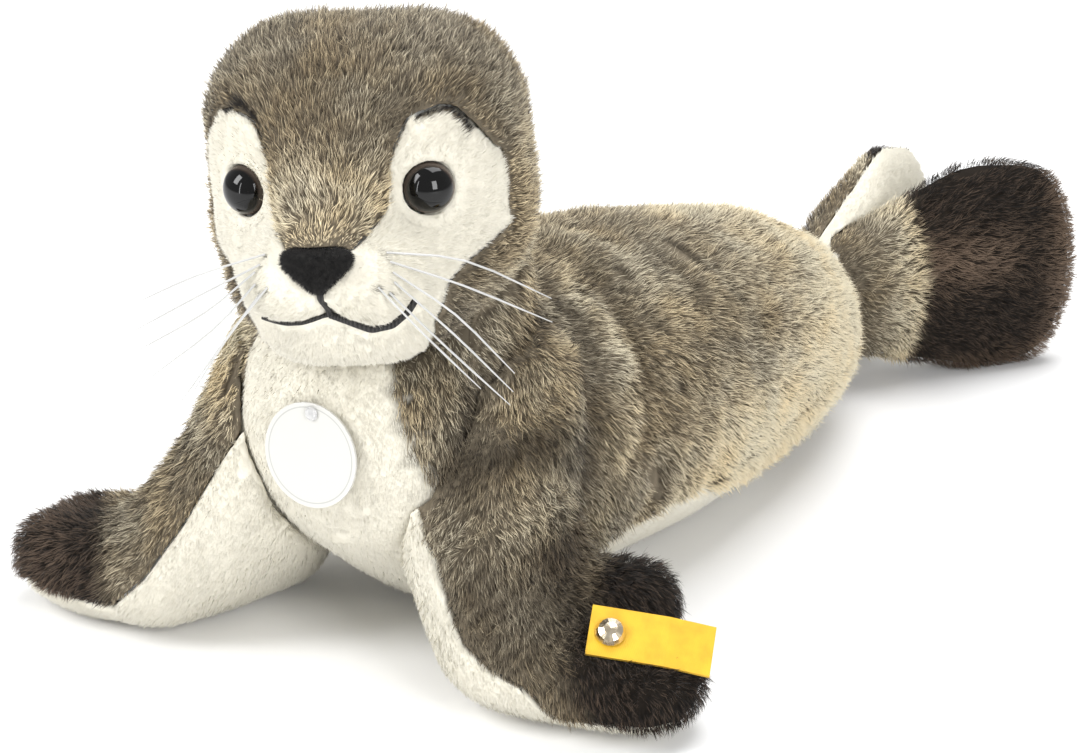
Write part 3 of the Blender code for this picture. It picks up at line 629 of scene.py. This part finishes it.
trims = [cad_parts[n] for n in ("hang_tag", "hang_tag_pin", "cloth_label", "label_button")]
solid = tree_of(list(covers.values()) + [nose] + trims + threads)
cream = tree_of([covers[part, "white"] for part in PARTS])
thread_points = points_tree([v.co for cord in threads for v in cord.data.vertices])
nose_points = points_tree([v.co for v in nose.data.vertices])
root_points = points_tree(whisker_roots)


def scattered(draw, cover, density):
    """Places all over the outside of a cover, so many a square millimetre, and their normals."""
    faces, face_normals, area = outer_faces(cover)
    count = int(area.sum() / MM ** 2 * density)
    spread = np.cumsum(area) / area.sum()
    chosen = np.searchsorted(spread, draw.random(count)).clip(0, len(area) - 1)
    u, v = draw.random(count), draw.random(count)
    flip = u + v > 1
    u[flip], v[flip] = 1 - u[flip], 1 - v[flip]
    weights = np.stack([1 - u - v, u, v], axis=1)[:, :, None]
    roots = (faces[chosen] * weights).sum(axis=1)
    return roots, unit((face_normals[chosen] * weights).sum(axis=1))


def lay_of(draw, seed, roots, normals, source, lift, bent):
    """The ways that the lower and the upper half of each hair run, away from the source."""
    comb = square_to(normals, roots - np.array(source))
    for seat, _ in eyes.values():
        off = roots - np.array(seat)
        near = 1 - smooth_step(EYE_NEAR, EYE_FAR, np.linalg.norm(off, axis=1))[:, None]
        comb = unit(comb * (1 - near) + square_to(normals, off) * near)
    (long, long_share), (short, short_share) = LONG_WAVE, SHORT_WAVE
    stray = (ripple(roots, long, seed + 1) * long_share
             + ripple(roots, short, seed + 2) * short_share)
    stray += draw.normal(size=roots.shape) * OWN_STRAY
    stray *= 1 if bent else 0.5
    rise = 0.35 if bent else 0.15
    first = unit(normals * (lift + rise) + comb * (1 - lift) * 0.7 + stray * 0.7)
    second = unit(normals * lift + comb * (1 - lift) + stray)
    below = (second * normals).sum(axis=1)
    return first, unit(second + normals * np.maximum(0.1 - below, 0)[:, None])


def from_eyes(roots):
    """How far each place lies from the nearer eye."""
    gaps = [np.linalg.norm(roots - np.array(seat), axis=1) for seat, _ in eyes.values()]
    return np.min(gaps, axis=0)


def shortened(size, left, low, high, gap):
    """Cuts hair to the share left where its gap from something is low, and not where it is high."""
    return size * (left + (1 - left) * smooth_step(low, high, gap))


def lengths_of(draw, cover, roots, length, cut_at_seams):
    """The length of each hair: less round the eyes, the nose and the mouth, and at the seams."""
    size = length * (1 + 0.2 * draw.normal(size=len(roots))).clip(0.5, 1.45)
    size = shortened(size, 0.4, EYE_CUT, EYE_FAR, from_eyes(roots))
    if cut_at_seams:
        size = shortened(size, 0.42, 0.2 * MM, 4.5 * MM, reach_of(roots, cream, 5 * MM))
    near_nose = np.linalg.norm(roots - np.array(nose_place), axis=1) < 40 * MM
    if near_nose.any() and cover is not nose:
        closeness = np.ones(len(roots))
        closeness[near_nose] = distances(roots[near_nose], nose_points)
        size = shortened(size, 0.35, 1 * MM, 7 * MM, closeness)
        closeness[near_nose] = distances(roots[near_nose], thread_points)
        size = shortened(size, 0.3, 0.3 * MM, 3 * MM, closeness)
    return size


def trim(roots, normals, first, second, size):
    """Cuts each hair off short of what it would run into, and says which are long enough."""
    stays = np.ones(len(roots), bool)
    for i in range(len(roots)):
        start = Vector(roots[i] + normals[i] * TRIED_FROM * MM)
        for way, share in ((first[i], BEND_AT), (second[i], 1 - BEND_AT)):
            hit, facing, _, far = solid.ray_cast(start, Vector(way), size[i] * share)
            if hit is not None and facing.dot(Vector(way)) < 0:
                size[i] *= far * FILLS / (size[i] * share)
                stays[i] = size[i] > SHORTEST
                break
            start = start + Vector(way) * float(size[i]) * share
    return stays


def blade_mesh(name, corners, blade):
    """A mesh of hairs, with a row of corners for each and the same triangles in every row."""
    count, ends = corners.shape[:2]
    corners = corners.reshape(-1, 3)
    corners[:, 2] = np.maximum(corners[:, 2], FLOOR_LEVEL)
    triangles = count * len(blade) // 3
    mesh = bpy.data.meshes.new(name)
    mesh.vertices.add(count * ends)
    mesh.vertices.foreach_set("co", corners.ravel())
    mesh.loops.add(count * len(blade))
    order = np.arange(count)[:, None] * ends + np.array(blade)
    mesh.loops.foreach_set("vertex_index", order.ravel())
    mesh.polygons.add(triangles)
    mesh.polygons.foreach_set("loop_start", np.arange(triangles) * 3)
    mesh.polygons.foreach_set("use_smooth", np.ones(triangles, bool))
    mesh.update(calc_edges=True)
    return mesh


def stain(cover, tone_of):
    """Marks where the ground of a cover is dark, which is under dark hair."""
    if "dye" in cover.data.attributes:
        return
    spots = np.array([v.co[:] for v in cover.data.vertices])
    ground = browned(spots) if cover is covers["body", "white"] else tone_of(spots)[1]
    cover.data.attributes.new("dye", "FLOAT", "POINT").data.foreach_set("value", ground)


def pile(name, cover, material, tone_of, source, density, length, width, lift, seed,
         bent=True, region=None, over_seam=False):
    """Hair over the outside of a cover, or over a region of it, combed away from a source.

    tone_of gives how light each place is, and how far it is dyed dark. Lift
    stands the hair up. A bent hair has two triangles and a straight one has one.
    """
    draw = np.random.default_rng(seed)
    roots, normals = scattered(draw, cover, density)
    if region is not None:
        inside = region(roots)
        roots, normals = roots[inside], normals[inside]
    first, second = lay_of(draw, seed, roots, normals, source, lift, bent)
    size = lengths_of(draw, cover, roots, length, bent and not over_seam)
    hairs = [roots, normals, first, second, size]
    keep = from_eyes(roots) > EYE_RADIUS
    hairs = [values[keep] for values in hairs]
    keep = trim(*hairs)
    roots, normals, first, second, size = (values[keep] for values in hairs)

    middles = roots + first * (size * BEND_AT)[:, None]
    tips = middles + second * (size * (1 - BEND_AT))[:, None]
    root_ends = roots - normals * ROOT_DEPTH * MM
    side = unit(np.cross(first, normals) + draw.normal(size=roots.shape) * 0.45)
    side = square_to(first, side)
    side *= np.sign((np.cross(side, second) * normals).sum(axis=1))[:, None]
    half = (width / 2 * (1 + 0.25 * draw.normal(size=len(roots))).clip(0.5, 1.6))[:, None]
    if bent:
        corners = [root_ends, middles - side * half, middles + side * half, tips]
        blade, along = [0, 2, 1, 1, 2, 3], [0, 0.5, 0.5, 1]
    else:
        corners = [root_ends - side * half, root_ends + side * half, tips]
        blade, along = [0, 1, 2], [0, 0, 1]
    mesh = blade_mesh(name, np.stack(corners, axis=1), blade)

    stain(cover, tone_of)
    light, dye = tone_of(roots)
    tone = np.zeros((len(roots), len(along), 4))
    tone[:, :, 0] = np.array(along)
    tone[:, :, 1] = draw.random(len(roots))[:, None]
    tone[:, :, 2] = dye[:, None]
    tone[:, :, 3] = light[:, None]
    colour = mesh.color_attributes.new("tone", "FLOAT_COLOR", "POINT")
    colour.data.foreach_set("color", tone.ravel())
    own = unit(np.cross(second, side))
    own *= np.sign((own * normals).sum(axis=1))[:, None]
    soft = unit(normals * 0.7 + own * 0.3)
    mesh.normals_split_custom_set_from_vertices(np.repeat(soft, len(along), axis=0))
    piece = bpy.data.objects.new(name, mesh)
    bpy.context.collection.objects.link(piece)
    mesh.materials.append(material)
    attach(piece, "root")
    return piece


def hair(name, root, middle, tip, warmth, dyed, own_mottle, cloth_mottle, light_share):
    """The finish of a pile: its colours from root to tip, also where it is warmer and dyed."""
    material, tree, shader, places = finish_of(name, 0.62)
    shader.inputs["Specular IOR Level"].default_value = 0.15
    shader.inputs["Sheen Weight"].default_value = 0.08
    shader.inputs["Sheen Roughness"].default_value = 0.5
    tone = tree.nodes.new("ShaderNodeAttribute")
    tone.attribute_name = "tone"
    shares = tree.nodes.new("ShaderNodeSeparateColor")
    tree.links.new(tone.outputs["Color"], shares.inputs["Color"])
    along, own, dye = shares.outputs

    def add(total, value, factor):
        node = tree.nodes.new("ShaderNodeMath")
        node.operation = "MULTIPLY_ADD"
        tree.links.new(value, node.inputs[0])
        node.inputs[1].default_value = factor
        if isinstance(total, float):
            node.inputs[2].default_value = total
        else:
            tree.links.new(total, node.inputs[2])
        return node.outputs[0]

    level = add(-0.5 * (own_mottle + cloth_mottle + light_share), along, 1.0)
    level = add(level, own, own_mottle)
    level = add(level, grain(tree, places, 110.0, 3.0), cloth_mottle)
    level = add(level, tone.outputs["Alpha"], light_share)
    stops = ((0.0, root), (0.5, middle), (1.0, tip))
    warmer = [(place, tuple(c * w for c, w in zip(colour, warmth))) for place, colour in stops]
    patches = ramp(tree, grain(tree, places, 48.0, 4.0), (0.40, (0, 0, 0)), (0.62, (1, 1, 1)))
    plain = mixed(tree, patches, ramp(tree, level, *stops), ramp(tree, level, *warmer))
    dark = ramp(tree, level, (0.0, dyed[0]), (1.0, dyed[1]))
    tree.links.new(mixed(tree, dye, plain, dark), shader.inputs["Base Color"])
    return material


BLACK_DYE = ((0.006, 0.005, 0.005), (0.02, 0.017, 0.015))
DARK_DYE = ((0.006, 0.0045, 0.0035), (0.16, 0.108, 0.075))
BROWN = ((0.04, 0.032, 0.023), (0.18, 0.150, 0.105), (0.72, 0.65, 0.48))
CREAM = ((0.68, 0.65, 0.55), (0.71, 0.68, 0.585), (0.75, 0.72, 0.63))
WARM, EVEN = (1.06, 0.97, 0.83), (1, 1, 1)
FULL_DYE = 0.97
# how far its own chance, the cloth and the tone of its place lighten a hair
BROWN_MIX = dict(own_mottle=0.5, cloth_mottle=0.5, light_share=1.1)
EVEN_MIX = dict(own_mottle=0.2, cloth_mottle=0.2, light_share=0.2)
brown_hair = hair("brown_hair", *BROWN, WARM, DARK_DYE, **BROWN_MIX)
cream_hair = hair("cream_hair", *CREAM, EVEN, BLACK_DYE, **EVEN_MIX)


def plain_tone(roots):
    return np.full(len(roots), 0.5), np.zeros(len(roots))


# The pile of the head: brown over the crown, the bridge and the cheeks, and
# cream on the face, with a black arc sprayed over each eye and a small dark
# dot at the root of each whisker.
BROWS = (((19.9, 19.4), (26, 20.8), (28.9, 17.1), (29.9, 15.2)),
         ((-25.2, 20.8), (-20.7, 23), (-16.1, 19.5)))
# how soft the edge of an arc is, in millimetres, and of a dot, and how dark a dot is
BROW_EDGE, DOT_EDGE, DOT_DYE = (0.4, 1.1), (0.5 * MM, 1.0 * MM), 0.75
head_hair = hair("head_hair", *BROWN, WARM, BLACK_DYE, **BROWN_MIX)


def head_tone(roots):
    """Lighter towards the nose and the sides, with black arcs over the eyes and whisker dots."""
    dye = 1 - smooth_step(*DOT_EDGE, distances(roots, root_points))
    dye *= DOT_DYE
    for arc in BROWS:
        gap, local = flat_line(roots, arc)
        dye = np.maximum(dye, (1 - smooth_step(*BROW_EDGE, gap)) * (local[:, 1] < 0))
    local = in_head(roots)
    light = 0.28 + 0.15 * smooth_step(20, 38, np.abs(local[:, 0])) * smooth_step(30, 0, local[:, 2])
    light += 0.40 * smooth_step(18, 0, local[:, 2]) * smooth_step(-18, -32, local[:, 1])
    light += 0.10 * smooth_step(20, 38, np.abs(local[:, 0]))
    return light.clip(0, 1), dye


def dotted_tone(roots):
    light, dye = head_tone(roots)
    return np.full(len(roots), 0.5), dye


pile("head_brown_pile", covers["head", "brown"], head_hair, head_tone, nose_place,
     density=5.0, length=BROWN_LENGTH, width=BROWN_WIDTH, lift=0.32, seed=11)
pile("head_white_pile", covers["head", "white"], cream_hair, dotted_tone,
     nose_place, density=8.0, length=WHITE_LENGTH, width=WHITE_WIDTH, lift=0.22, seed=21,
     bent=False)


# The pile of the body: brown over the back and the flanks, paler towards the
# tail, and cream on the chest and the belly. Brown hair also hides the cream
# cloth beside the neck and low on the flanks.
NECK = Vector((-0.004, -0.11, 0.125))
# where the two halves of the brown pile meet, along the body
WAIST = -0.012
arms = tree_of([covers[part, colour] for part in FLIPPERS[:2] for colour in ("brown", "white")])


def crease(roots, part):
    """How deep each place lies in the folds of its cover, in millimetres."""
    return sum(deep * np.exp(-((near_line(roots, line) / MM / wide) ** 2))
               for line, deep, wide in FOLDS[part])


def body_tone(roots):
    """Darker at the neck, paler towards the tail and low on the flank, with painted shade in the
    folds and beside the left arm and painted light on the rises.
    """
    x, y, z = (roots / MM).T
    light = 0.44 + 0.46 * smooth_step(-20, 70, y)
    light += 0.55 * smooth_step(60, 28, z) * smooth_step(-66, -30, y)
    # the right side of the neck, which is pale
    light += 0.6 * smooth_step(0, -25, x) * smooth_step(-60, -90, y)
    # painted shade in the folds of the body, and painted light on the rises between them
    light -= 0.12 * crease(roots, "body")
    # painted shade on the flank, high up, where the left arm lies against it
    shade_beside_arm = smooth_step(7 * MM, 0.5 * MM, reach_of(roots, arms, 7 * MM))
    light -= 0.45 * shade_beside_arm * (x > 0) * smooth_step(30, 50, z)
    return light.clip(0, 1), np.zeros(len(roots))


def browned(roots):
    """Where brown hair covers the cream cloth of the body: beside the neck and low on the flank."""
    x, y, z = (roots / MM).T
    beside_neck = (y < -40) & (z > 54) & (x > 23 - 0.43 * (z - 56).clip(0))
    low_flank = (y > -55) & (z > 27 - 21 * ((y + 55) / 80).clip(0, 1))
    return beside_neck | low_flank


for half, seed, colour, region in (
    ("front", 31, "brown", lambda roots: roots[:, 1] < WAIST),
    ("rear", 36, "brown", lambda roots: roots[:, 1] >= WAIST),
    ("seam", 38, "white", browned),
):
    pile("body_brown_pile_" + half, covers["body", colour], brown_hair, body_tone,
         NECK, density=4.3, length=BROWN_LENGTH, width=BROWN_WIDTH, lift=0.28, seed=seed,
         region=region, over_seam=half != "front")
pile("body_white_pile", covers["body", "white"], cream_hair, plain_tone, NECK,
     density=4.5, length=WHITE_LENGTH, width=WHITE_WIDTH, lift=0.22, seed=41,
     bent=False, region=lambda roots: ~browned(roots))


# The pile of the flippers: brown outside and cream inside. The hands are dyed
# nearly black and the hind paddles dark brown.
SHOULDERS = {"left": Vector((0.02, -0.095, 0.085)), "right": Vector((-0.03, -0.095, 0.085))}
TAIL = Vector((0.035, 0.06, 0.035))
# where the left paddle starts, and half its height
ANKLE, PADDLE_HALF = (0.03825, 0.0864), 0.028
trunk = tree_of([covers["body", "brown"]])


def left_arm_tone(roots):
    """Darker than the body, with painted shade in its fold and where it lies against the body and
    painted light on its rise, and nearly black from the knuckles of the hand out.
    """
    x, y, z = (roots / MM).T
    # the fold term is painted shade in the fold of the arm and painted light on its rise
    light = 0.20 + 0.32 * smooth_step(52, 75, z) - 0.3 * crease(roots, "front_flipper_left")
    # painted shade where the arm lies against the body
    light -= 0.25 * smooth_step(4 * MM, 0.5 * MM, reach_of(roots, trunk, 4 * MM))
    # the hand, and its lower outer edge
    dye = smooth_step(-3, 4, x - 68 + 0.55 * z) * smooth_step(46, 38, z)
    edge = smooth_step(48, 54, x) * smooth_step(-110, -102, y) * smooth_step(40, 34, z)
    dye = np.maximum(dye, edge)
    return (light * (1 - dye)).clip(0, 1), dye * FULL_DYE


def right_arm_tone(roots):
    """Like the left one, with a paler dish in the hand."""
    x, y, z = (roots / MM).T
    light = 0.40 + 0.55 * smooth_step(50, 76, z)
    # how far out along the hand, in millimetres
    far = -0.882 * x - 0.473 * y
    dye = smooth_step(114, 121, far)
    light = light * (1 - dye) + dye * (0.05 + 0.25 * smooth_step(118, 132, far))
    return light.clip(0, 1), dye * FULL_DYE


def paddle_tone(roots):
    """A light brown ankle, then a dark paddle with a paler rim and a paler ridge."""
    # how far out along the paddle, and how high on it, from -1 to 1
    along = (roots[:, 0] - ANKLE[0]) * 0.766 + (roots[:, 1] - ANKLE[1]) * 0.643
    high = (roots[:, 2] - PADDLE_HALF) / PADDLE_HALF
    start = 24 * MM - 4 * MM * high ** 2
    rim = 0.8 * smooth_step(56 * MM, 72 * MM, along) + 0.45 * smooth_step(-0.5, -1.0, high)
    ridge = 0.75 * np.exp(-(((high - 0.3) / 0.3) ** 2)) * smooth_step(64 * MM, 40 * MM, along)
    light = 0.35 + 0.45 * smooth_step(8 * MM, 22 * MM, along)
    dye = smooth_step(start, start + 4 * MM, along)
    return (light * (1 - dye) + (rim + ridge) * dye).clip(0, 1), dye * FULL_DYE


for side, seed, arm_tone in (("left", 51, left_arm_tone), ("right", 71, right_arm_tone)):
    part = "front_flipper_" + side
    pile(part + "_brown_pile", covers[part, "brown"], brown_hair, arm_tone,
         SHOULDERS[side], density=4.6, length=BROWN_LENGTH, width=BROWN_WIDTH, lift=0.32, seed=seed)
    pile(part + "_white_pile", covers[part, "white"], cream_hair, plain_tone,
         SHOULDERS[side], density=6.0, length=WHITE_LENGTH, width=WHITE_WIDTH, lift=0.2,
         seed=seed + 10, bent=False)
    part = "hind_flipper_" + side
    pile(part + "_brown_pile", covers[part, "brown"], brown_hair, paddle_tone, TAIL,
         density=4.4, length=BROWN_LENGTH * 0.9, width=BROWN_WIDTH, lift=0.32, seed=seed + 5)
    pile(part + "_white_pile", covers[part, "white"], cream_hair, plain_tone, TAIL,
         density=5.0, length=WHITE_LENGTH, width=WHITE_WIDTH, lift=0.2, seed=seed + 15, bent=False)


# The pile of the nose: very short black velvet that stands nearly straight up
# from its pad.
velvet_hair = hair("velvet_hair", *(BLACK_DYE[0],) * 3, EVEN, BLACK_DYE, **EVEN_MIX)
nose_top = nose_place + Vector((0, -0.004, 0.004))
pile("nose_pile", nose, velvet_hair, plain_tone, nose_top, density=9.0,
     length=0.8 * MM, width=0.2 * MM, lift=0.6, seed=91, bent=False)
